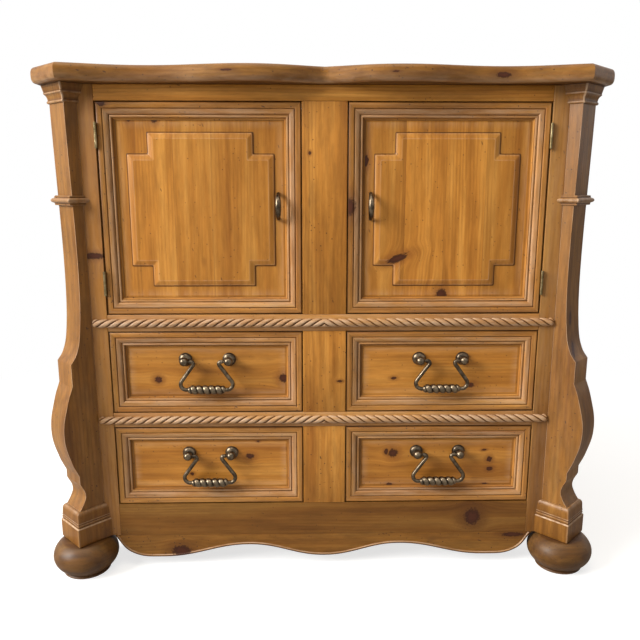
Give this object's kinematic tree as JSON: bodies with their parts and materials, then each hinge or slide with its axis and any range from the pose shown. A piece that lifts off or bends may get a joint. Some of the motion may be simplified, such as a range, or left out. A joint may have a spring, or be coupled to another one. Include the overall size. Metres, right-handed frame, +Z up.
{
  "type": "bar cabinet",
  "caption": "Pine bar cabinet with panelled doors over drawers, rope mouldings, scrolled corner posts, bun feet and a scalloped top.",
  "frame": {"origin": "on the floor, under the middle of the cabinet's overall box", "axes": "+Z up, +X to the right of someone facing the doors, +Y to the back"},
  "size_m": [1.2046, 0.529, 1.067],
  "materials": {
    "pine": "waxed, honey-coloured, distressed",
    "dark_pine": "waxed, dark brown",
    "inner_pine": "bare",
    "brass": "antique, darkened in the hollows"
  },
  "bodies": {
    "case": {"top_board": "pine", "left_side_panel": "pine", "right_side_panel": "pine", "back_panel": "inner_pine", "bottom_board": "inner_pine", "drawer_divider": "inner_pine", "cupboard_floor": "inner_pine", "shelf": "inner_pine", "drawer_partition": "inner_pine", "top_rail": "pine", "upper_rail": "pine", "lower_rail": "pine", "apron": "pine", "centre_stile": "pine", "left_stile": "pine", "right_stile": "pine", "upper_rope": "pine", "lower_rope": "pine", "left_post": "pine", "right_post": "pine", "left_plinth": "pine", "right_plinth": "pine", "left_front_foot": "dark_pine", "right_front_foot": "dark_pine", "left_rear_foot": "dark_pine", "right_rear_foot": "dark_pine", "left_lower_hinge_case_leaf": "brass", "left_upper_hinge_case_leaf": "brass", "right_lower_hinge_case_leaf": "brass", "right_upper_hinge_case_leaf": "brass"},
    "left_door": {"left_door_frame": "pine", "left_door_panel": "pine", "left_door_pull": "brass", "left_lower_hinge_door_leaf": "brass", "left_upper_hinge_door_leaf": "brass"},
    "right_door": {"right_door_frame": "pine", "right_door_panel": "pine", "right_door_pull": "brass", "right_lower_hinge_door_leaf": "brass", "right_upper_hinge_door_leaf": "brass"},
    "upper_left_drawer": {"upper_left_drawer_front": "pine", "upper_left_drawer_box": "inner_pine", "upper_left_bail_left_post": "brass", "upper_left_bail_right_post": "brass"},
    "upper_right_drawer": {"upper_right_drawer_front": "pine", "upper_right_drawer_box": "inner_pine", "upper_right_bail_left_post": "brass", "upper_right_bail_right_post": "brass"},
    "lower_left_drawer": {"lower_left_drawer_front": "pine", "lower_left_drawer_box": "inner_pine", "lower_left_bail_left_post": "brass", "lower_left_bail_right_post": "brass"},
    "lower_right_drawer": {"lower_right_drawer_front": "pine", "lower_right_drawer_box": "inner_pine", "lower_right_bail_left_post": "brass", "lower_right_bail_right_post": "brass"},
    "upper_left_bail": {"upper_left_bail": "brass"},
    "upper_right_bail": {"upper_right_bail": "brass"},
    "lower_left_bail": {"lower_left_bail": "brass"},
    "lower_right_bail": {"lower_right_bail": "brass"}
  },
  "joints": [
    {"name": "left_door_hinge", "type": "hinge", "parent": "case", "child": "left_door", "pos_m": [-0.45225, -0.1938, 0.7905], "axis": [0, 0, -1], "range_deg": [0, 125]},
    {"name": "right_door_hinge", "type": "hinge", "parent": "case", "child": "right_door", "pos_m": [0.45225, -0.1938, 0.7905], "axis": [0, 0, 1], "range_deg": [0, 125]},
    {"name": "upper_left_drawer_slide", "type": "slide", "parent": "case", "child": "upper_left_drawer", "axis": [0, -1, 0], "range_m": [0, 0.3]},
    {"name": "upper_right_drawer_slide", "type": "slide", "parent": "case", "child": "upper_right_drawer", "axis": [0, -1, 0], "range_m": [0, 0.3]},
    {"name": "lower_left_drawer_slide", "type": "slide", "parent": "case", "child": "lower_left_drawer", "axis": [0, -1, 0], "range_m": [0, 0.3]},
    {"name": "lower_right_drawer_slide", "type": "slide", "parent": "case", "child": "lower_right_drawer", "axis": [0, -1, 0], "range_m": [0, 0.3]},
    {"name": "upper_left_bail_swing", "type": "hinge", "parent": "upper_left_drawer", "child": "upper_left_bail", "pos_m": [-0.2495, -0.201, 0.4778], "axis": [-1, 0, 0], "range_deg": [0, 95]},
    {"name": "upper_right_bail_swing", "type": "hinge", "parent": "upper_right_drawer", "child": "upper_right_bail", "pos_m": [0.2495, -0.201, 0.4778], "axis": [-1, 0, 0], "range_deg": [0, 95]},
    {"name": "lower_left_bail_swing", "type": "hinge", "parent": "lower_left_drawer", "child": "lower_left_bail", "pos_m": [-0.2495, -0.201, 0.2663], "axis": [-1, 0, 0], "range_deg": [0, 95]},
    {"name": "lower_right_bail_swing", "type": "hinge", "parent": "lower_right_drawer", "child": "lower_right_bail", "pos_m": [0.2495, -0.201, 0.2663], "axis": [-1, 0, 0], "range_deg": [0, 95]}
  ]
}
